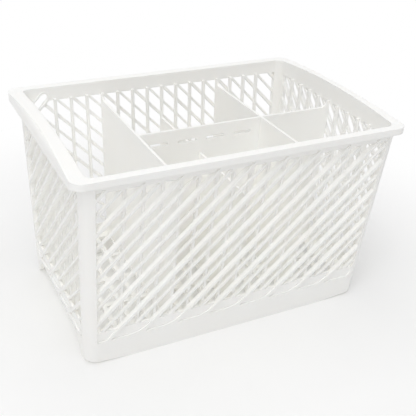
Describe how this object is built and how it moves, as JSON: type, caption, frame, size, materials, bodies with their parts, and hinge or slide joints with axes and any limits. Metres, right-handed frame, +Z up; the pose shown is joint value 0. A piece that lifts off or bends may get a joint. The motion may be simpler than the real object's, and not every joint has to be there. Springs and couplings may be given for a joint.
{
  "type": "dishwasher cutlery basket",
  "caption": "Tapering plastic cutlery basket with two-layer slanted lattice walls, a perforated raised floor, sheet dividers and a lip with rolled, arched ends for lifting.",
  "frame": {"origin": "centre of the overall box at the level of the feet", "axes": "+X along the length with the undivided compartment at -X, -Y towards the front wall, +Z up"},
  "size_m": [0.2444, 0.1632, 0.1566],
  "materials": {
    "moulding": "satin white moulded polypropylene"
  },
  "bodies": {
    "root": {"basket": "moulding"}
  },
  "joints": []
}
